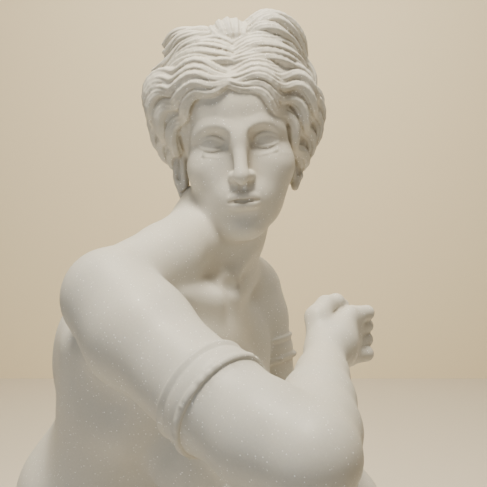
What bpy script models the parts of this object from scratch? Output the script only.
"""A crouching Aphrodite, carved with her low base from one block of white marble.

The figure is a soft union of simple forms (round cones, balls, fluted locks of hair), laid out on a
skeleton. Blender's primitives fill the forms, a Remesh modifier makes one skin of them, the skin is
drawn onto the soft union, and a Decimate modifier keeps the facets that the carving needs.
Every point of the figure is a share of its own height, measured from the top of the base: +X is the
viewer's right, the face looks towards -Y, +Z is up.
"""

import math

import bmesh
import bpy
import numpy as np
from mathutils import Matrix, Vector

# Driving sizes, in metres
FIGURE_HEIGHT = 1.000
BASE_HEIGHT = 0.070
BASE_MARGIN = 0.035
BASE_EDGE_ROUNDING = 0.008
FIGURE_SINK = 0.012
ARMLET_WIDTH = 0.034
ARMLET_STAND = 0.0030
ARMLET_RIM = 0.0030

# How finely the skin is made: spacings are shares of the figure's height, facets are triangles
SKIN_VOXEL = 0.0050
THINNEST_FILLED = 0.65
SLOPE_STEP = 0.0006
FORMS_AT_ONCE = 16
BODY_FACETS = 2350
LIMB_FACETS = 2000
HAIR_FACETS = 3650
FACE_FACETS = 1000
FIGURE_FACETS = 9000

# The figure's footprint, in shares of its height: lowest and highest X and Y
FOOTPRINT = ((-0.270, 0.275), (-0.425, 0.120))
BASE_SQUARENESS = 3.4
BASE_SIDES = 44

# The skeleton, in shares of the figure's height
HEAD = np.array((0.1128, -0.0021, 0.8547))
HEAD_LEAN = math.radians(4.5)
NECK_TOP, NECK_MIDDLE, NECK_FOOT = (0.112, 0.008, 0.785), (0.088, -0.004, 0.720), (0.065, -0.012, 0.660)
CHEST = np.array((0.004, -0.027, 0.497))
CHEST_TURN = math.radians(60.9)
CHEST_LEAN = math.radians(15)
PELVIS = np.array((-0.135, 0.006, 0.240))
PELVIS_TURN = math.radians(46.2)
RIGHT_SHOULDER = (-0.0235, -0.1913, 0.6572)
RIGHT_ELBOW = (0.1784, -0.3749, 0.5409)
RIGHT_WRIST = (0.2139, -0.1462, 0.5860)
LEFT_SHOULDER = (0.1207, 0.0883, 0.6276)
LEFT_ELBOW = (0.1850, 0.0700, 0.3500)
LEFT_WRIST = (0.2370, -0.1250, 0.2850)
LEFT_HIP, LEFT_KNEE, LEFT_ANKLE = (-0.073, 0.071, 0.240), (0.2095, -0.2028, 0.4222), (0.130, -0.130, 0.075)
RIGHT_HIP, RIGHT_KNEE, RIGHT_ANKLE = (-0.197, -0.059, 0.240), (0.042, -0.362, 0.075), (-0.181, -0.079, 0.120)

# Places on the head, in its own directions from its centre
EYE_LEVEL = -0.023
EYE_SIDE = 0.031
EYE_DEPTH = -0.0700
EYE_HALF_WIDTH = 0.0160
EYE_SLANT = 0.0012
EYEBALL = 0.0134
UPPER_LID, LOWER_LID = 0.0024, 0.0016

# Courses of the hair on the head: the lowest, the middle and the highest lock of each band
FRONT_LEFT = (
    (
        (-0.007, -0.094, 0.046), (-0.026, -0.093, 0.039), (-0.042, -0.086, 0.035), (-0.058, -0.074, 0.028),
        (-0.070, -0.055, 0.014), (-0.079, -0.035, -0.005), (-0.085, -0.010, -0.022), (-0.084, 0.022, -0.036),
        (-0.070, 0.055, -0.046), (-0.046, 0.082, -0.055),
    ),
    (
        (-0.006, -0.092, 0.051), (-0.026, -0.092, 0.054), (-0.047, -0.085, 0.055), (-0.068, -0.072, 0.053),
        (-0.089, -0.053, 0.048), (-0.104, -0.030, 0.034), (-0.107, -0.006, 0.016), (-0.104, 0.018, -0.004),
        (-0.090, 0.052, -0.022), (-0.052, 0.090, -0.042),
    ),
    (
        (-0.006, -0.084, 0.059), (-0.028, -0.082, 0.068), (-0.052, -0.070, 0.074), (-0.078, -0.052, 0.069),
        (-0.101, -0.028, 0.059), (-0.111, -0.002, 0.047), (-0.108, 0.030, 0.030), (-0.088, 0.066, 0.004),
        (-0.048, 0.100, -0.024),
    ),
)
FRONT_RIGHT = (
    (
        (-0.005, -0.094, 0.046), (0.014, -0.093, 0.039), (0.032, -0.086, 0.030), (0.048, -0.074, 0.018),
        (0.060, -0.055, 0.000), (0.068, -0.035, -0.022), (0.074, -0.010, -0.044), (0.076, 0.022, -0.050),
        (0.064, 0.055, -0.052), (0.042, 0.082, -0.058),
    ),
    (
        (-0.005, -0.092, 0.051), (0.017, -0.092, 0.052), (0.038, -0.085, 0.050), (0.060, -0.072, 0.044),
        (0.081, -0.053, 0.034), (0.095, -0.030, 0.018), (0.099, -0.006, -0.002), (0.092, 0.018, -0.026),
        (0.086, 0.050, -0.036), (0.050, 0.088, -0.046),
    ),
    (
        (-0.005, -0.084, 0.059), (0.022, -0.082, 0.066), (0.047, -0.070, 0.068), (0.072, -0.052, 0.062),
        (0.091, -0.028, 0.051), (0.101, -0.002, 0.036), (0.102, 0.030, 0.018), (0.084, 0.066, -0.004),
        (0.046, 0.100, -0.028),
    ),
)
PUFF_LEFT = (
    (
        (-0.001, -0.080, 0.074), (-0.012, -0.080, 0.076), (-0.030, -0.074, 0.077), (-0.050, -0.062, 0.076),
        (-0.068, -0.044, 0.071), (-0.084, -0.018, 0.064), (-0.090, 0.014, 0.050),
    ),
    (
        (0.001, -0.062, 0.097), (-0.013, -0.058, 0.103), (-0.034, -0.050, 0.101), (-0.052, -0.038, 0.095),
        (-0.069, -0.020, 0.086), (-0.080, 0.004, 0.076), (-0.078, 0.034, 0.062),
    ),
)
PUFF_RIGHT = (
    (
        (0.003, -0.080, 0.074), (0.018, -0.079, 0.076), (0.040, -0.073, 0.074), (0.060, -0.060, 0.070),
        (0.076, -0.042, 0.063), (0.087, -0.016, 0.055), (0.092, 0.016, 0.042),
    ),
    (
        (0.005, -0.062, 0.097), (0.023, -0.058, 0.102), (0.045, -0.050, 0.098), (0.065, -0.036, 0.089),
        (0.079, -0.018, 0.077), (0.086, 0.006, 0.068), (0.084, 0.036, 0.056),
    ),
)
LOOP_RIGHT = (
    (
        (0.018, -0.012, 0.123), (0.039, -0.004, 0.135), (0.059, 0.006, 0.134), (0.080, 0.022, 0.121),
        (0.094, 0.040, 0.101),
    ),
    (
        (0.018, -0.030, 0.122), (0.036, -0.028, 0.135), (0.055, -0.020, 0.137), (0.075, -0.005, 0.127),
        (0.090, 0.012, 0.109), (0.098, 0.030, 0.091),
    ),
    (
        (0.019, -0.042, 0.114), (0.038, -0.044, 0.125), (0.057, -0.036, 0.126), (0.075, -0.020, 0.114),
        (0.088, -0.002, 0.096), (0.096, 0.015, 0.080),
    ),
    (
        (0.019, -0.050, 0.108), (0.039, -0.053, 0.114), (0.057, -0.046, 0.113), (0.073, -0.030, 0.103),
        (0.084, -0.012, 0.088),
    ),
    (
        (0.019, -0.054, 0.101), (0.038, -0.056, 0.103), (0.056, -0.049, 0.101), (0.069, -0.034, 0.092),
        (0.079, -0.020, 0.080),
    ),
    ((0.070, 0.002, 0.108), (0.086, 0.010, 0.092), (0.098, 0.018, 0.068), (0.103, 0.022, 0.042)),
)
LOOP_LEFT = (
    ((-0.024, -0.018, 0.122), (-0.044, -0.012, 0.127), (-0.064, -0.002, 0.124), (-0.081, 0.010, 0.115)),
    (
        (-0.024, -0.035, 0.120), (-0.043, -0.036, 0.123), (-0.061, -0.030, 0.122), (-0.077, -0.018, 0.117),
        (-0.088, -0.006, 0.112),
    ),
    (
        (-0.024, -0.045, 0.114), (-0.043, -0.048, 0.115), (-0.059, -0.042, 0.112), (-0.075, -0.030, 0.106),
        (-0.087, -0.018, 0.101),
    ),
    (
        (-0.024, -0.050, 0.108), (-0.042, -0.053, 0.106), (-0.057, -0.048, 0.101), (-0.072, -0.036, 0.093),
        (-0.089, -0.022, 0.086), (-0.101, -0.008, 0.081),
    ),
    (
        (-0.024, -0.053, 0.101), (-0.039, -0.056, 0.098), (-0.052, -0.050, 0.092), (-0.065, -0.040, 0.084),
        (-0.080, -0.028, 0.079), (-0.097, -0.012, 0.072),
    ),
)
ROW_STAGGER = 0.0008


class Form:
    """One simple form of the soft union: centre and reach bound it, blend is its fillet's size."""

    def __init__(self, centre, reach, distance, blend, carve=False, rod=None):
        self.centre = np.asarray(centre, float)
        self.reach = reach
        self.distance = distance
        self.blend = blend
        self.carve = carve
        self.rod = rod


def unit(vector):
    """The vector at length 1."""
    vector = np.asarray(vector, float)
    return vector / np.linalg.norm(vector)


def lengths(vectors):
    """The length of each vector."""
    return np.sqrt(np.einsum("ij,ij->i", vectors, vectors))


def ball(centre, radii, blend, axes=None, carve=False):
    """An ellipsoid. axes are its own three directions, as rows."""
    centre = np.asarray(centre, float)
    radii = np.broadcast_to(np.asarray(radii, float), 3)
    turn = np.eye(3) if axes is None else np.asarray(axes, float)

    def distance(points):
        local = (points - centre) @ (turn.T / radii)
        near = lengths(local) + 1e-9
        return near * (near - 1) / (lengths(local / radii) + 1e-9)

    return Form(centre, radii.max(), distance, blend, carve, ("ball", centre, radii, turn))


def cone(start, end, start_radius, end_radius, blend, carve=False):
    """A round cone from start to end, such as a length of limb."""
    start, end = np.asarray(start, float), np.asarray(end, float)
    along = end - start
    length_squared = max(float(along @ along), 1e-12)

    def distance(points):
        offset = points - start
        share = np.clip(offset @ along / length_squared, 0, 1)
        return lengths(offset - share[:, None] * along) - start_radius + (start_radius - end_radius) * share

    reach = math.sqrt(length_squared) / 2 + max(start_radius, end_radius)
    rod = ("cone", start, end, start_radius, end_radius)
    return Form((start + end) / 2, reach, distance, blend, carve, rod)


def limb(stations, blend, joint_blend=0.004):
    """A run of round cones through stations, each a point and its radius."""
    forms = []
    for (start, start_radius), (end, end_radius) in zip(stations, stations[1:]):
        forms.append(cone(start, end, start_radius, end_radius, joint_blend if forms else blend))
    return forms


def smooth_curve(points, count):
    """count points at about even steps along a Catmull-Rom curve through points."""
    points = np.asarray(points, float)
    padded = np.vstack([2 * points[0] - points[1], points, 2 * points[-1] - points[-2]])
    spans = len(points) - 1
    travelled = np.concatenate(([0], np.cumsum(lengths(np.diff(points, axis=0)))))
    out = []
    for value in np.interp(np.linspace(0, travelled[-1], count), travelled, range(spans + 1)):
        span = min(int(value), spans - 1)
        t = value - span
        a, b, c, d = padded[span : span + 4]
        out.append(
            0.5 * (2 * b + (c - a) * t + (2 * a - 5 * b + 4 * c - d) * t**2 + (3 * b - a - 3 * c + d) * t**3)
        )
    return np.array(out)


def lock(line, radii, about, flutes=4, depth=0.0018, blend=0.0012, turns=0.0):
    """A lock of hair along a line: round cones, fluted into strands that twist by turns along it."""
    count = len(line)
    width = np.interp(np.linspace(0, 1, count), np.linspace(0, 1, len(radii)), radii)
    forms = []
    for index in range(count - 1):
        start, end = line[index], line[index + 1]
        tangent = unit(end - start)
        normal = start - about
        normal = unit(normal - tangent * (normal @ tangent))
        turned = [2 * math.pi * turns * (index + step) / (count - 1) for step in (0, 1)]
        thick = (width[index], width[index + 1])
        forms.append(fluted(start, end, thick, normal, flutes, depth, turned, blend))
    return forms


def fluted(start, end, radii, normal, flutes, depth, turned, blend):
    """A round cone whose side is carved into flutes, for one length of a lock."""
    along = end - start
    length_squared = max(float(along @ along), 1e-12)
    side = np.cross(unit(along), normal)

    def distance(points):
        offset = points - start
        share = np.clip(offset @ along / length_squared, 0, 1)
        gap = offset - share[:, None] * along
        angle = np.arctan2(gap @ side, gap @ normal)
        phase = (angle + turned[0] + (turned[1] - turned[0]) * share) * flutes / 2
        valley = 1 - np.abs(np.cos(phase + 0.7)) ** 0.8
        radius = radii[0] + (radii[1] - radii[0]) * share
        return lengths(gap) - radius + depth * valley

    reach = math.sqrt(length_squared) / 2 + max(radii)
    rod = ("cone", start, end, radii[0], radii[1])
    return Form((start + end) / 2, reach, distance, blend, False, rod)


def armlet(centre, axis, arm_radius, flare=0.0):
    """A flat band round an upper arm, with a bead along each edge; the arm's radius grows by flare."""
    centre, axis = np.asarray(centre, float), unit(axis)
    half, stand, rim = ARMLET_WIDTH / 2, ARMLET_STAND, ARMLET_RIM
    half, stand, rim = (size / FIGURE_HEIGHT for size in (half, stand, rim))

    def distance(points):
        offset = points - centre
        height = offset @ axis
        across = lengths(offset - height[:, None] * axis) - flare * height
        out, over = across - arm_radius - stand + rim / 2, np.abs(height) - half + rim / 2
        outside = np.hypot(np.maximum(out, 0), np.maximum(over, 0))
        plate = outside + np.minimum(np.maximum(out, over), 0) - rim / 2
        bead = np.hypot(across - arm_radius - stand * 0.8, np.abs(height) - half + rim * 0.7) - rim
        return np.minimum(plate, bead)

    return Form(centre, arm_radius + stand + rim + half, distance, 0.0015)


def eyelid(centre, radius, arch, upper, outside):
    """A lid: a shell over the eyeball, as far as the arched edge of the eye's opening."""

    def distance(points):
        x, y, z = ((points - centre) @ HEAD_AXES.T).T
        share = np.clip(x / EYE_HALF_WIDTH, -1, 1)
        edge = arch * (1 - share**2) + EYE_SLANT * (share * outside - 0.5)
        beyond = edge - z if upper else z - edge
        wide = np.maximum(np.abs(x) - EYE_HALF_WIDTH * 1.15, 0) + np.maximum(y + radius * 0.25, 0)
        return np.maximum(np.maximum(lengths(points - centre) - radius, beyond), wide)

    return Form(centre, radius * 1.2, distance, 0.0022 if upper else 0.0030)


def field_of(forms, points, margin):
    """The distance to the soft union, as a function of points that stay near the ones given."""
    near = []
    for form in forms:
        limit = form.reach + form.blend + margin
        index = np.nonzero(lengths(points - form.centre) < limit)[0]
        if len(index):
            near.append((form, index))

    def value(moved):
        total = np.full(len(moved), 0.2)
        for form, index in near:
            one, other = total[index], form.distance(moved[index])
            if form.carve:
                share = np.clip(0.5 - 0.5 * (other + one) / form.blend, 0, 1)
                total[index] = one * (1 - share) - other * share + form.blend * share * (1 - share)
            else:
                share = np.clip(0.5 + 0.5 * (one - other) / form.blend, 0, 1)
                total[index] = one * (1 - share) + other * share - form.blend * share * (1 - share)
        return total

    return value


def frame_axes(turn, lean):
    """Sideways to her left, forward and up, for a trunk turned from +X towards -Y and leaning forward."""
    left = np.array((math.cos(turn), math.sin(turn), 0))
    ahead = np.array((math.sin(turn), -math.cos(turn), 0))
    up = np.array((0, 0, 1.0))
    return np.array(
        (left, ahead * math.cos(lean) - up * math.sin(lean), up * math.cos(lean) + ahead * math.sin(lean))
    )


def placed(centre, axes, point):
    """A point given in a trunk's or the head's own directions."""
    return centre + np.asarray(point, float) @ axes


HEAD_AXES = np.array(
    ((math.cos(HEAD_LEAN), 0, math.sin(HEAD_LEAN)), (0, 1, 0), (-math.sin(HEAD_LEAN), 0, math.cos(HEAD_LEAN)))
)
CHEST_AXES = frame_axes(CHEST_TURN, CHEST_LEAN)
PELVIS_AXES = frame_axes(PELVIS_TURN, 0)


def on_head(x, y, z):
    """A point of the head: x to the viewer's right, -y forward, z up."""
    return placed(HEAD, HEAD_AXES, (x, y, z))


def on_chest(left, ahead, up):
    """A point of the chest, in its own directions."""
    return placed(CHEST, CHEST_AXES, (left, ahead, up))


def on_pelvis(left, ahead, up):
    """A point of the pelvis, in its own directions."""
    return placed(PELVIS, PELVIS_AXES, (left, ahead, up))


def head_ball(x, y, z, radii, blend, carve=False):
    """A ball on the head, in the head's own directions."""
    return ball(on_head(x, y, z), radii, blend, HEAD_AXES, carve)


def head_cone(start, end, start_radius, end_radius, blend, carve=False):
    """A round cone on the head, in the head's own directions."""
    return cone(on_head(*start), on_head(*end), start_radius, end_radius, blend, carve)


def skull_forms():
    """The head under the hair and the large planes of the face."""
    forms = [
        head_ball(0, 0, 0.012, (0.074, 0.094, 0.080), 0.010),
        head_ball(0, -0.040, -0.055, (0.0585, 0.052, 0.080), 0.020),
        head_ball(0, -0.049, 0.020, (0.060, 0.045, 0.050), 0.020),
        head_ball(0, -0.0770, -0.1230, (0.0170, 0.0160, 0.0155), 0.020),
    ]
    for side in (-1, 1):
        forms += [
            head_ball(side * 0.042, -0.060, EYE_LEVEL - 0.028, 0.0205, 0.030),
            head_ball(side * 0.024, -0.062, -0.090, (0.020, 0.024, 0.030), 0.020),
            head_cone((side * 0.009, -0.071, -0.122), (side * 0.040, -0.012, -0.080), 0.0125, 0.0130, 0.018),
        ]
        forms += ear_forms(side)
    return forms


def ear_forms(side):
    """The lower part of an ear, below the hair, with its rim and its lobe."""
    out, drop = (-0.079, -0.006) if side < 0 else (0.071, -0.012)
    rim = [(0.002, 0.014, -0.024), (0.006, 0.008, -0.040), (0.004, -0.001, -0.056), (-0.003, -0.008, -0.070)]
    line = [(out + side * x, y, z + drop) for x, y, z in rim]
    forms = [head_ball(out - side * 0.004, 0.001, -0.048 + drop, (0.0060, 0.0140, 0.0260), 0.005)]
    forms += [head_cone(start, end, 0.0044, 0.0050, 0.003) for start, end in zip(line, line[1:])]
    bowl = (out + side * 0.003, -0.004, -0.044 + drop)
    forms.append(head_ball(*bowl, (0.0035, 0.0055, 0.0120), 0.003, carve=True))
    return forms


def brow_and_eye_forms():
    """Eye sockets under arched brows, eyeballs between an upper and a lower lid."""
    forms = []
    for side in (-1, 1):
        arch = [
            (side * 0.0110, -0.0872, EYE_LEVEL + 0.0135), (side * 0.0240, -0.0862, EYE_LEVEL + 0.0205),
            (side * 0.0360, -0.0800, EYE_LEVEL + 0.0205), (side * 0.0480, -0.0680, EYE_LEVEL + 0.0130),
        ]
        forms += [head_cone(start, end, 0.0050, 0.0048, 0.012) for start, end in zip(arch, arch[1:])]
        forms += [
            head_ball(side * EYE_SIDE, -0.0985, EYE_LEVEL + 0.001, (0.0200, 0.0200, 0.0140), 0.008, True),
            head_ball(side * 0.0160, -0.0975, EYE_LEVEL + 0.002, (0.0060, 0.0115, 0.0090), 0.007, True),
            head_ball(side * EYE_SIDE, EYE_DEPTH, EYE_LEVEL, EYEBALL, 0.0015),
        ]
        place = on_head(side * EYE_SIDE, EYE_DEPTH, EYE_LEVEL)
        forms.append(eyelid(place, EYEBALL + LOWER_LID, -0.0058, False, side))
        forms.append(eyelid(place, EYEBALL + UPPER_LID, 0.0068, True, side))
    return forms


def nose_and_mouth_forms():
    """A straight nose and closed, calm lips."""
    level = EYE_LEVEL
    forms = [
        head_cone((0, -0.0885, level + 0.018), (0, -0.1075, level - 0.036), 0.0072, 0.0080, 0.010),
        head_ball(0, -0.1075, level - 0.0395, (0.0092, 0.0088, 0.0080), 0.004),
    ]
    for side in (-1, 1):
        forms.append(head_ball(side * 0.0108, -0.0975, level - 0.0415, (0.0062, 0.0095, 0.0064), 0.005))
    for side in (-1, 1):
        nostril = (side * 0.0064, -0.1000, level - 0.0520)
        forms.append(head_ball(*nostril, (0.0038, 0.0058, 0.0045), 0.0025, carve=True))
    forms.append(head_ball(0, -0.0810, level - 0.068, (0.0270, 0.0150, 0.0200), 0.012))
    for side in (-1, 1):
        upper = (side * 0.0045, -0.0968, level - 0.0620), (side * 0.0235, -0.0862, level - 0.0668)
        lower = (side * 0.0020, -0.0952, level - 0.0742), (side * 0.0195, -0.0872, level - 0.0700)
        forms.append(head_cone(*upper, 0.0050, 0.0016, 0.0022))
        forms.append(head_cone(*lower, 0.0062, 0.0020, 0.0024))
    for side in (-1, 1):
        parting = (0, -0.1032, level - 0.0678), (side * 0.0205, -0.0915, level - 0.0684)
        forms.append(head_cone(*parting, 0.0017, 0.0010, 0.0016, carve=True))
    groove = (0, -0.1045, level - 0.0480), (0, -0.1020, level - 0.0575)
    forms.append(head_cone(*groove, 0.0030, 0.0030, 0.003, carve=True))
    forms.append(head_ball(0, -0.1010, level - 0.0870, (0.0150, 0.0090, 0.0050), 0.006, carve=True))
    return forms


def waved(line, about, height, depth, waves, phase):
    """A line of hair that swings across itself and in and out, waves times on its way."""
    out = []
    for index, point in enumerate(line):
        share = index / (len(line) - 1)
        tangent = unit(line[min(index + 1, len(line) - 1)] - line[max(index - 1, 0)])
        outward = point - about
        outward = unit(outward - tangent * (outward @ tangent))
        across = np.cross(tangent, outward)
        swing = 2 * math.pi * waves * share + phase
        ease = min(1, share * 6)
        out.append(point + across * height * ease * math.sin(swing) + outward * depth * ease * math.cos(swing))
    return np.array(out)


def spread(curves, share):
    """The line at a share of the way over a surface between two or three curves."""
    if len(curves) == 2:
        return curves[0] * (1 - share) + curves[1] * share
    low, middle, high = curves
    of_low, of_high = (1 - share) * (1 - 2 * share), share * (2 * share - 1)
    return low * of_low + middle * (1 - of_low - of_high) + high * of_high


def band(side, rows, count, curves, thickness, waves, phases, bulge=0.0):
    """Rows of waved locks spread between curves on one side of the head.

    thickness is the radius and its shares along a lock; waves are their number, swing and lift;
    phases are the first row's and the step to the next; bulge rounds the band outwards.
    """
    about = on_head(0, 0.005, 0.0)
    curves = [smooth_curve([on_head(*point) for point in curve], count) for curve in curves]
    along = np.sin(math.pi * np.linspace(0, 1, count))[:, None]
    number, swing, lift = waves
    forms = []
    for row in range(rows):
        share = row / max(rows - 1, 1)
        line = spread(curves, share)
        outward = line - about
        outward /= lengths(outward)[:, None]
        line = line + outward * (bulge * 4 * share * (1 - share) * along + ROW_STAGGER * (-1) ** row)
        line = waved(line, about, swing * side, lift, number, phases[0] + phases[1] * row)
        thick = thickness[0] * (1 + 0.10 * math.sin(2.4 * row + side))
        forms += lock(line, [thick * part for part in thickness[1:]], about, turns=0.45 * side)
    return forms


def hair_forms():
    """Centre-parted waves drawn back over the ears, puffs above, and the back combed to a bun."""
    forms = [
        head_ball(-0.003, 0.020, 0.021, (0.096, 0.090, 0.081), 0.010),
        head_ball(0, 0.062, -0.050, (0.058, 0.042, 0.038), 0.020),
    ]
    back_low = ((0.095, 0.010, 0.020), (0.086, 0.056, 0.000), (0.056, 0.090, -0.020), (0.016, 0.108, -0.040))
    back_high = ((0.012, 0.010, 0.100), (0.014, 0.064, 0.084), (0.012, 0.100, 0.040), (0.006, 0.114, -0.020))
    for side, front, puff in ((-1, FRONT_LEFT, PUFF_LEFT), (1, FRONT_RIGHT, PUFF_RIGHT)):
        back = [[(side * x, y, z) for x, y, z in curve] for curve in (back_low, back_high)]
        phase = 0.95 + 0.55 * side
        thick = (0.0125, 0.62, 1, 1.06, 1, 0.9, 0.7)
        forms += band(side, 6, 14, back, thick, (1.6, 0.0045, 0.0026), (phase, 0.7))
        thick = (0.0078, 0.75, 1, 1.1, 1.25, 1.35, 1.2, 1, 0.8)
        forms += band(side, 5, 34, front, thick, (4.2, 0.0052, 0.0030), (phase, 0.45))
        thick = (0.0062, 0.9, 1.15, 1.2, 1.1, 0.9)
        forms += band(side, 5, 16, puff, thick, (1.6, 0.0022, 0.0016), (phase + 1, 0.6), bulge=0.008)
    return forms + bun_forms()


def bun_forms():
    """A low bun at the nape, wound from a fluted lock, and a tress that lies beside the neck."""
    centre = on_head(0, 0.118, -0.052)
    forms = [ball(centre, (0.030, 0.024, 0.028), 0.006, HEAD_AXES)]
    for radius, back, start in ((0.024, 0.002, 0.0), (0.012, 0.016, 2.0)):
        ring = []
        for angle in np.linspace(start, start + 2 * math.pi, 15):
            spoke = np.array((radius * math.cos(angle), back, radius * math.sin(angle)))
            ring.append(centre + spoke @ HEAD_AXES)
        forms += lock(np.array(ring), (0.0115, 0.0115), centre)
    tress = [
        (-0.080, 0.024, -0.034), (-0.084, 0.020, -0.058), (-0.080, 0.018, -0.080), (-0.078, 0.018, -0.104),
    ]
    line = smooth_curve([on_head(*point) for point in tress], 8)
    return forms + lock(line, (0.009, 0.008, 0.006, 0.0035), on_head(0, 0.02, -0.08))


def bow_forms():
    """The knot of hair on the crown: a wrap across the middle and two loops, one to each side."""
    about = on_head(0, 0.000, 0.060)
    forms = [head_ball(0, -0.006, 0.086, (0.060, 0.042, 0.028), 0.010)]
    for share in np.linspace(-1, 1, 4):
        x = -0.002 + 0.0155 * share
        strand = [
            (x + 0.004, -0.0540, 0.098), (x + 0.001, -0.0545, 0.112), (x - 0.002, -0.0430, 0.1260),
            (x - 0.003, -0.0240, 0.1305), (x - 0.002, -0.0020, 0.1250),
        ]
        line = smooth_curve([on_head(*point) for point in strand], 9)
        forms += lock(line, (0.0070, 0.0085, 0.0075), on_head(0, -0.03, 0.10))
    forms.append(head_ball(0.050, -0.012, 0.102, (0.034, 0.030, 0.026), 0.008))
    forms.append(head_ball(-0.050, -0.018, 0.099, (0.030, 0.027, 0.020), 0.008))
    for loop, width in ((LOOP_RIGHT, 0.0080), (LOOP_LEFT, 0.0066)):
        for index, points in enumerate(loop):
            line = smooth_curve([on_head(*point) for point in points], 14)
            line = waved(line, about, 0.0022, 0.0016, 1.3, 1.3 * index)
            radii = [width * part for part in (0.85, 1.1, 1.1, 1.0, 0.7)]
            forms += lock(line, radii, about, turns=0.3)
    return forms


def neck_forms():
    """The turned neck, its two long muscles, and the slope of the shoulders."""
    stations = [(NECK_TOP, 0.049), (NECK_MIDDLE, 0.050), (NECK_FOOT, 0.058)]
    forms = limb(stations, 0.020, 0.012)
    notch = on_chest(0.012, 0.061, 0.1725)
    forms += [
        cone(on_head(0.045, 0.030, -0.060), notch, 0.0140, 0.0080, 0.014),
        cone(on_head(-0.046, 0.030, -0.060), notch, 0.0120, 0.0080, 0.016),
        cone(NECK_MIDDLE, on_chest(0.125, -0.010, 0.160), 0.036, 0.030, 0.050),
        ball(notch + np.array((0.006, -0.004, 0.008)), 0.009, 0.012, carve=True),
    ]
    right_slope = [
        ((0.078, -0.010, 0.734), 0.036), ((0.028, -0.105, 0.694), 0.041), ((-0.016, -0.166, 0.672), 0.041),
    ]
    return forms + limb(right_slope, 0.030, 0.010)


def trunk_forms():
    """Chest, back, breasts, waist and pelvis."""
    forms = [
        ball(on_chest(0, 0, 0), (0.130, 0.112, 0.145), 0.020, CHEST_AXES),
        ball(on_chest(0, 0.020, 0.105), (0.125, 0.068, 0.080), 0.040, CHEST_AXES),
        ball(on_chest(0, -0.036, 0.085), (0.120, 0.058, 0.120), 0.036, CHEST_AXES),
        ball((-0.075, -0.010, 0.370), (0.112, 0.092, 0.105), 0.050, PELVIS_AXES),
        ball((-0.045, -0.048, 0.325), (0.090, 0.080, 0.075), 0.030, PELVIS_AXES),
        ball(on_pelvis(0, 0, 0), (0.145, 0.105, 0.105), 0.040, PELVIS_AXES),
        ball((-0.010, -0.140, 0.510), 0.043, 0.030),
    ]
    for side in (-1, 1):
        armpit, flank = on_chest(side * 0.138, 0.026, 0.115), on_chest(side * 0.085, 0.0, -0.100)
        forms += [
            cone(on_chest(side * 0.070, 0.066, 0.050), armpit, 0.050, 0.040, 0.030),
            cone(on_chest(side * 0.112, -0.024, 0.090), flank, 0.046, 0.048, 0.030),
            ball(on_chest(side * 0.072, 0.116, -0.004), (0.056, 0.054, 0.056), 0.024, CHEST_AXES),
            ball(on_chest(side * 0.078, 0.169, -0.002), 0.0070, 0.008, CHEST_AXES),
            ball(on_chest(side * 0.072, -0.074, 0.075), (0.046, 0.024, 0.066), 0.030, CHEST_AXES),
            ball(on_pelvis(side * 0.075, -0.052, -0.022), (0.086, 0.086, 0.086), 0.020, PELVIS_AXES),
        ]
        collar = [
            (side * 0.024, 0.062, 0.166), (side * 0.060, 0.064, 0.176),
            (side * 0.105, 0.042, 0.182), (side * 0.140, 0.012, 0.176),
        ]
        stations = [(on_chest(*point), 0.0085) for point in collar]
        forms += [item for part in zip(stations, stations[1:]) for item in limb(part, 0.028)]
    forms += [
        cone(on_chest(0, -0.128, 0.120), on_chest(0, -0.128, -0.080), 0.016, 0.014, 0.030, carve=True),
        cone(on_pelvis(0, -0.150, 0.010), on_pelvis(0, -0.120, -0.110), 0.008, 0.010, 0.020, carve=True),
        ball(on_pelvis(0, 0.150, 0.085), 0.010, 0.012, carve=True),
    ]
    return forms


def right_arm_forms():
    """The right arm across the chest: elbow towards the viewer, forearm up, back of the hand in front."""
    upper = [
        (RIGHT_SHOULDER, 0.0560), ((0.0111, -0.2258, 0.6227), 0.0585), ((0.0646, -0.2734, 0.5871), 0.0490),
        ((0.0934, -0.2996, 0.5708), 0.0510), ((0.1397, -0.3422, 0.5495), 0.0510), (RIGHT_ELBOW, 0.0450),
    ]
    lower = [
        (RIGHT_ELBOW, 0.0450), ((0.1867, -0.3183, 0.5469), 0.0450), ((0.1957, -0.2603, 0.5603), 0.0380),
        ((0.2052, -0.2022, 0.5735), 0.0290), (RIGHT_WRIST, 0.0230),
    ]
    forms = limb(upper, 0.016, 0.012) + limb(lower, 0.008, 0.008)
    start, end = np.array(upper[2][0]), np.array(upper[3][0])
    forms.append(armlet(start + (end - start) * 0.85, end - start, 0.0535, flare=0.10))
    return forms


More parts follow.
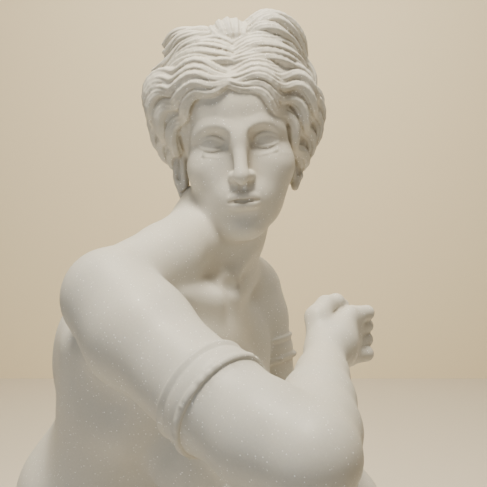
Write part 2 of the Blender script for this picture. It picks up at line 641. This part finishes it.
def right_hand_forms():
    """A loosely closed hand, thumb up: palm, knuckles, and fingers that curl away behind it."""
    wrist = np.array(RIGHT_WRIST)
    knuckles = [
        (0.2480, -0.0915, 0.6217), (0.2512, -0.0838, 0.6041), (0.2499, -0.0845, 0.5870),
        (0.2474, -0.0935, 0.5722),
    ]
    middles = [
        (0.2741, -0.0617, 0.6207), (0.2742, -0.0536, 0.6031), (0.2738, -0.0544, 0.5855),
        (0.2733, -0.0653, 0.5697),
    ]
    forms = []
    for index, (knuckle, middle) in enumerate(zip(knuckles, middles)):
        knuckle, middle = np.array(knuckle), np.array(middle)
        drop = np.array((0, 0, 0.010 * (index - 1.5) / 1.5))
        forms.append(cone(wrist - drop, knuckle, 0.0150, 0.0125, 0.016))
        forms.append(cone(knuckle, middle, 0.0112, 0.0094, 0.004))
        bent = middle + np.array((-0.0170, 0.0190, -0.002))
        tip = bent + np.array((-0.0240, -0.0060, -0.004))
        forms.append(cone(middle, bent, 0.0092, 0.0086, 0.003))
        forms.append(cone(bent, tip, 0.0086, 0.0076, 0.003))
    forms.append(ball(wrist + (0.016, 0.028, 0.008), (0.026, 0.030, 0.028), 0.012))
    thumb = [
        (wrist + (-0.004, 0.010, 0.010), 0.0160), ((0.2075, -0.1180, 0.6240), 0.0150),
        ((0.2190, -0.0990, 0.6360), 0.0115), ((0.2330, -0.0860, 0.6380), 0.0100),
        ((0.2420, -0.0780, 0.6330), 0.0080),
    ]
    forms += limb(thumb, 0.010, 0.003)
    return forms


def left_arm_forms():
    """The left arm hangs beside the body, and its hand rests on the left shin."""
    upper = [
        (LEFT_SHOULDER, 0.0540), ((0.1320, 0.0830, 0.5900), 0.0500), ((0.1407, 0.0765, 0.5458), 0.0455),
        ((0.1600, 0.0740, 0.4500), 0.0440), (LEFT_ELBOW, 0.0390),
    ]
    lower = [(LEFT_ELBOW, 0.0390), ((0.2050, 0.0100, 0.3250), 0.0380), (LEFT_WRIST, 0.0225)]
    forms = limb(upper, 0.016, 0.012) + limb(lower, 0.008, 0.008)
    forms.append(armlet(upper[2][0], np.array(upper[3][0]) - np.array(upper[1][0]), 0.0475))
    wrist = np.array(LEFT_WRIST)
    for index in range(4):
        drop = 0.0145 * (index - 1.5)
        knuckle = wrist + (0.004, -0.066, -0.020 - drop * 0.95)
        middle = knuckle + (-0.004, -0.032, -0.004)
        tip = middle + (-0.026, -0.022, -0.006)
        forms += [
            cone(wrist + (0, -0.008, -0.3 * drop), knuckle, 0.0150, 0.0115, 0.014),
            cone(knuckle, middle, 0.0105, 0.0090, 0.004),
            cone(middle, tip, 0.0090, 0.0076, 0.003),
        ]
    thumb = [
        (wrist + (-0.004, -0.014, 0.008), 0.0150), (wrist + (-0.010, -0.050, 0.026), 0.0120),
        (wrist + (-0.022, -0.080, 0.030), 0.0090),
    ]
    return forms + limb(thumb, 0.010, 0.004)


def leg_forms():
    """The left knee raised in front of the body, the right knee low and the right heel under her."""
    left_thigh = [
        (LEFT_HIP, 0.0920), ((-0.008, 0.008, 0.283), 0.0900), ((0.1096, -0.1051, 0.383), 0.0790),
        (LEFT_KNEE, 0.0620),
    ]
    left_calf = [
        (LEFT_KNEE, 0.0600), ((0.1930, -0.1890, 0.370), 0.0530), ((0.1580, -0.1570, 0.285), 0.0530),
        ((0.1400, -0.1390, 0.180), 0.0400), (LEFT_ANKLE, 0.0310),
    ]
    right_thigh = [(RIGHT_HIP, 0.0920), ((-0.110, -0.170, 0.190), 0.0840), (RIGHT_KNEE, 0.0600)]
    right_calf = [
        (RIGHT_KNEE, 0.0560), ((-0.0300, -0.2720, 0.072), 0.0500), ((-0.1000, -0.1820, 0.082), 0.0500),
        ((-0.1550, -0.1120, 0.108), 0.0380), (RIGHT_ANKLE, 0.0320),
    ]
    forms = limb(left_thigh, 0.030, 0.020) + limb(right_thigh, 0.030, 0.020)
    forms += limb(left_calf, 0.006, 0.010) + limb(right_calf, 0.006, 0.010)
    forms.append(ball((0.2250, -0.2200, 0.4250), 0.0380, 0.020))
    forms.append(ball((0.0600, -0.3850, 0.0750), 0.0380, 0.020))
    ahead = unit((0.72, -0.69, 0))
    forms += foot_forms((0.098, -0.098, 0.030), LEFT_ANKLE, ahead, (0.215, -0.210, 0.020), 1)
    ahead = unit((0.62, -0.785, 0))
    forms += foot_forms((-0.222, -0.030, 0.140), RIGHT_ANKLE, ahead, (-0.205, -0.050, 0.020), -1)
    return forms


def foot_forms(heel, ankle, ahead, tread, outside):
    """A foot from its heel to the tread behind the toes. outside is 1 where her left is the outer side."""
    heel, ankle, tread = np.array(heel), np.array(ankle), np.array(tread)
    across = np.array((-ahead[1], ahead[0], 0)) * outside
    forms = [
        cone(ankle, heel, 0.0300, 0.0270, 0.012),
        cone(heel, tread + across * 0.018, 0.0270, 0.0180, 0.016),
        cone(ankle, tread - across * 0.012 + (0, 0, 0.004), 0.0280, 0.0190, 0.016),
        cone(tread - across * 0.022, tread + across * 0.022, 0.0190, 0.0150, 0.010),
    ]
    toes = ((0.052, 0.0120), (0.048, 0.0090), (0.043, 0.0086), (0.037, 0.0082), (0.030, 0.0080))
    for index, (length, radius) in enumerate(toes):
        root = tread + across * (-0.026 + 0.0135 * index) + (0, 0, 0.002)
        middle = root + ahead * length * 0.55 + (0, 0, 0.002)
        tip = root + ahead * length + (0, 0, -0.006 + radius * 0.2)
        forms.append(cone(root, middle, radius * 1.05, radius * 0.92, 0.006))
        forms.append(cone(middle, tip, radius * 0.92, radius, 0.002))
    return forms


def figure_forms():
    """Every form of the figure, in the order in which they join."""
    body = trunk_forms() + leg_forms() + left_arm_forms() + right_arm_forms() + right_hand_forms()
    head = neck_forms() + skull_forms() + brow_and_eye_forms() + nose_and_mouth_forms()
    return body + head + hair_forms() + bow_forms()


def add_primitive(mesh, form, voxel):
    """Add the ball or the round cone of one form to a mesh, unless it is too thin for the voxels."""
    kind, *sizes = form.rod
    if kind == "ball":
        centre, radii, turn = sizes
        if min(radii) > voxel * THINNEST_FILLED:
            turned = Matrix(turn.T.tolist()).to_4x4()
            matrix = Matrix.Translation(centre) @ turned @ Matrix.Diagonal((*radii, 1))
            bmesh.ops.create_icosphere(mesh, subdivisions=3, radius=1, matrix=matrix)
        return
    start, end, start_radius, end_radius = sizes
    if max(start_radius, end_radius) < voxel * THINNEST_FILLED:
        return
    along = Vector(end - start)
    turn = along.to_track_quat("Z", "Y").to_matrix().to_4x4()
    middle = Matrix.Translation((start + end) / 2)
    bmesh.ops.create_cone(
        mesh, cap_ends=True, cap_tris=False, segments=16, radius1=start_radius,
        radius2=end_radius, depth=along.length, matrix=middle @ turn,
    )
    for point, radius in ((start, start_radius), (end, end_radius)):
        bmesh.ops.create_icosphere(mesh, subdivisions=2, radius=radius, matrix=Matrix.Translation(point))


def fill_forms(forms, voxel):
    """One mesh of plain primitives, closed and overlapping, that fills the forms that add material."""
    adding = [form for form in forms if form.rod and not form.carve]
    filled = bmesh.new()
    for first in range(0, len(adding), FORMS_AT_ONCE):
        few = bmesh.new()
        for form in adding[first : first + FORMS_AT_ONCE]:
            add_primitive(few, form, voxel)
        batch = bpy.data.meshes.new("forms")
        few.to_mesh(batch)
        few.free()
        filled.from_mesh(batch)
        bpy.data.meshes.remove(batch)
    return filled


def evaluated_mesh(name, mesh, kind, loose=None, **settings):
    """A new mesh: the given one with one modifier applied, where loose lists points, to those alone."""
    holder = bpy.data.objects.new(name, mesh)
    bpy.context.scene.collection.objects.link(holder)
    modifier = holder.modifiers.new(name, kind)
    if loose is not None:
        holder.vertex_groups.clear()
        holder.vertex_groups.new(name=name).add(loose.tolist(), 1.0, "REPLACE")
        modifier.vertex_group = name
        modifier.vertex_group_factor = 1e-6
    for key, value in settings.items():
        setattr(modifier, key, value)
    shown = holder.evaluated_get(bpy.context.evaluated_depsgraph_get())
    result = bpy.data.meshes.new_from_object(shown)
    bpy.data.objects.remove(holder)
    bpy.data.meshes.remove(mesh)
    return result


def raw_skin(forms, voxel):
    """One closed skin over the filled forms."""
    filled = fill_forms(forms, voxel)
    mesh = bpy.data.meshes.new("filled forms")
    filled.to_mesh(mesh)
    filled.free()
    return evaluated_mesh("skin", mesh, "REMESH", mode="VOXEL", voxel_size=voxel, adaptivity=0.0)


def places_of(mesh):
    """The mesh's points as an array."""
    places = np.empty(len(mesh.vertices) * 3)
    mesh.vertices.foreach_get("co", places)
    return places.reshape(-1, 3)


def settle(mesh, forms, passes, margin, inside=None):
    """Draw the skin, or its points inside a place, onto the soft union, and even them out along it."""
    points = places_of(mesh)
    count = len(points)
    loose = np.arange(count) if inside is None else np.nonzero(inside(points))[0]
    ends = np.empty(len(mesh.edges) * 2, int)
    mesh.edges.foreach_get("vertices", ends)
    one, other = ends.reshape(-1, 2).T
    degree = np.bincount(ends, minlength=count)[:, None]
    value = field_of(forms, points[loose], margin)
    corners = np.array(((1, -1, -1), (-1, -1, 1), (-1, 1, -1), (1, 1, 1))) / math.sqrt(3)
    for step in range(passes):
        slope, gap = np.zeros((len(loose), 3)), np.zeros(len(loose))
        for corner in corners:
            there = value(points[loose] + corner * SLOPE_STEP)
            slope += corner * there[:, None] * 0.75 / SLOPE_STEP
            gap += there / 4
        steepness = lengths(slope) + 1e-9
        normal = slope / steepness[:, None]
        travel = np.clip(gap / np.maximum(steepness, 0.6), -margin / 4, margin / 4)
        points[loose] -= travel[:, None] * normal
        if step < passes - 1:
            mean = np.empty_like(points)
            for axis in range(3):
                mean[:, axis] = np.bincount(one, points[other, axis], count)
                mean[:, axis] += np.bincount(other, points[one, axis], count)
            pull = (mean / degree - points)[loose]
            points[loose] += 0.5 * (pull - normal * np.einsum("ij,ij->i", pull, normal)[:, None])
    mesh.vertices.foreach_set("co", points.ravel())
    mesh.update()


def refine(mesh, inside):
    """Halve the spacing of the skin's points where inside, a test of an array of points, says so."""
    chosen = inside(places_of(mesh))
    finer = bmesh.new()
    finer.from_mesh(mesh)
    edges = [edge for edge in finer.edges if chosen[edge.verts[0].index] and chosen[edge.verts[1].index]]
    bmesh.ops.subdivide_edges(finer, edges=edges, cuts=1, use_grid_fill=True)
    finer.to_mesh(mesh)
    finer.free()


def near_any(places):
    """A test that says which points lie within one of the given places, each a centre and a radius."""

    def inside(points):
        found = np.zeros(len(points), bool)
        for centre, radius in places:
            found |= ((points - np.asarray(centre)) ** 2).sum(1) < radius**2
        return found

    return inside


def detail_places():
    """Where the skin needs a finer spacing: hands and feet, armlets, the head, and the face."""
    limbs = [
        ((0.245, -0.095, 0.600), 0.070), ((0.236, -0.195, 0.265), 0.075),
        ((0.190, -0.190, 0.020), 0.100), ((-0.190, -0.065, 0.050), 0.095),
    ]
    bands = [((0.0891, -0.2957, 0.5732), 0.066), ((0.1407, 0.0765, 0.5458), 0.060)]
    head = [(on_head(0, 0, 0.012), 0.165), (on_head(0, -0.060, -0.070), 0.085)]
    face = [(on_head(0, -0.085, -0.062), 0.052), (on_head(0, -0.080, -0.023), 0.056)]
    return limbs, bands, head, face


def thinned(mesh, inside, budget):
    """The mesh with the triangles inside a place thinned to a budget, and the others left."""
    chosen = inside(places_of(mesh))
    corners = np.empty(len(mesh.polygons) * 3, int)
    mesh.polygons.foreach_get("vertices", corners)
    within = int(chosen[corners.reshape(-1, 3)].all(1).sum())
    total = len(mesh.polygons)
    ratio = min(1, (total - within + budget) / total)
    return evaluated_mesh("thinned", mesh, "DECIMATE", np.nonzero(chosen)[0], ratio=ratio)


def figure_mesh():
    """The whole figure as one closed skin, in metres, with its facets where the carving needs them."""
    forms = figure_forms()
    limbs, bands, head, face = detail_places()
    mesh = raw_skin(forms, SKIN_VOXEL)
    settle(mesh, forms, 7, 0.024)
    steps = ((limbs + bands + head, 5, 0.010), (bands + face, 4, 0.006))
    for places, passes, margin in steps:
        inside = near_any(places)
        refine(mesh, inside)
        settle(mesh, forms, passes, margin, inside)
    whole = bmesh.new()
    whole.from_mesh(mesh)
    bmesh.ops.triangulate(whole, faces=whole.faces)
    whole.to_mesh(mesh)
    whole.free()
    on_limbs, on_hair, on_face = near_any(limbs + bands), near_any(head), near_any(face)
    for inside, budget in (
        (lambda points: ~on_limbs(points) & ~on_hair(points), BODY_FACETS),
        (lambda points: on_limbs(points) & ~on_hair(points), LIMB_FACETS),
        (lambda points: on_hair(points) & ~on_face(points), HAIR_FACETS),
        (on_face, FACE_FACETS),
    ):
        mesh = thinned(mesh, inside, budget)
    mesh = thinned(mesh, lambda points: np.ones(len(points), bool), FIGURE_FACETS)
    mesh.transform(Matrix.Scale(FIGURE_HEIGHT, 4))
    return mesh


def base_mesh():
    """The low base: a rounded block under the figure's footprint, its edges softened."""
    half_x, half_y = ((high - low) / 2 * FIGURE_HEIGHT + BASE_MARGIN for low, high in FOOTPRINT)
    block = bmesh.new()
    rim = []
    for index in range(BASE_SIDES):
        angle = 2 * math.pi * (index + 0.5) / BASE_SIDES
        across, along = math.cos(angle), math.sin(angle)
        reach = (abs(across) ** BASE_SQUARENESS + abs(along) ** BASE_SQUARENESS) ** (-1 / BASE_SQUARENESS)
        rim.append(block.verts.new((half_x * across * reach, half_y * along * reach, 0)))
    foot = block.faces.new(rim)
    raised = bmesh.ops.extrude_face_region(block, geom=[foot])["geom"]
    top = [item for item in raised if isinstance(item, bmesh.types.BMVert)]
    bmesh.ops.translate(block, verts=top, vec=(0, 0, BASE_HEIGHT))
    level = [edge for edge in block.edges if abs(edge.verts[0].co.z - edge.verts[1].co.z) < BASE_HEIGHT / 2]
    bmesh.ops.bevel(
        block, geom=level, offset=BASE_EDGE_ROUNDING, segments=2, profile=0.5, affect="EDGES", material=-1
    )
    bmesh.ops.recalc_face_normals(block, faces=block.faces)
    mesh = bpy.data.meshes.new("base")
    block.to_mesh(mesh)
    block.free()
    return mesh


def marble():
    """Creamy white crystalline marble."""
    material = bpy.data.materials.new("white marble")
    material.use_nodes = True
    shader = material.node_tree.nodes["Principled BSDF"]
    shader.inputs["Base Color"].default_value = (0.80, 0.775, 0.715, 1)
    shader.inputs["Roughness"].default_value = 0.48
    shader.inputs["Metallic"].default_value = 0.0
    return material


def build_statue():
    """The statue: the figure joined to its base, one closed solid standing on the base's underside."""
    for item in list(bpy.data.objects):
        bpy.data.objects.remove(item)
    figure = bpy.data.objects.new("figure", figure_mesh())
    centre = [(low + high) / 2 * FIGURE_HEIGHT for low, high in FOOTPRINT]
    figure.location = (-centre[0], -centre[1], BASE_HEIGHT - FIGURE_SINK)
    figure.hide_render = True
    figure.display_type = "WIRE"
    statue = bpy.data.objects.new("aphrodite_statue", base_mesh())
    statue.data.materials.append(marble())
    for item in (figure, statue):
        bpy.context.scene.collection.objects.link(item)
    union = statue.modifiers.new("figure on its base", "BOOLEAN")
    union.operation = "UNION"
    union.solver = "EXACT"
    union.object = figure


build_statue()
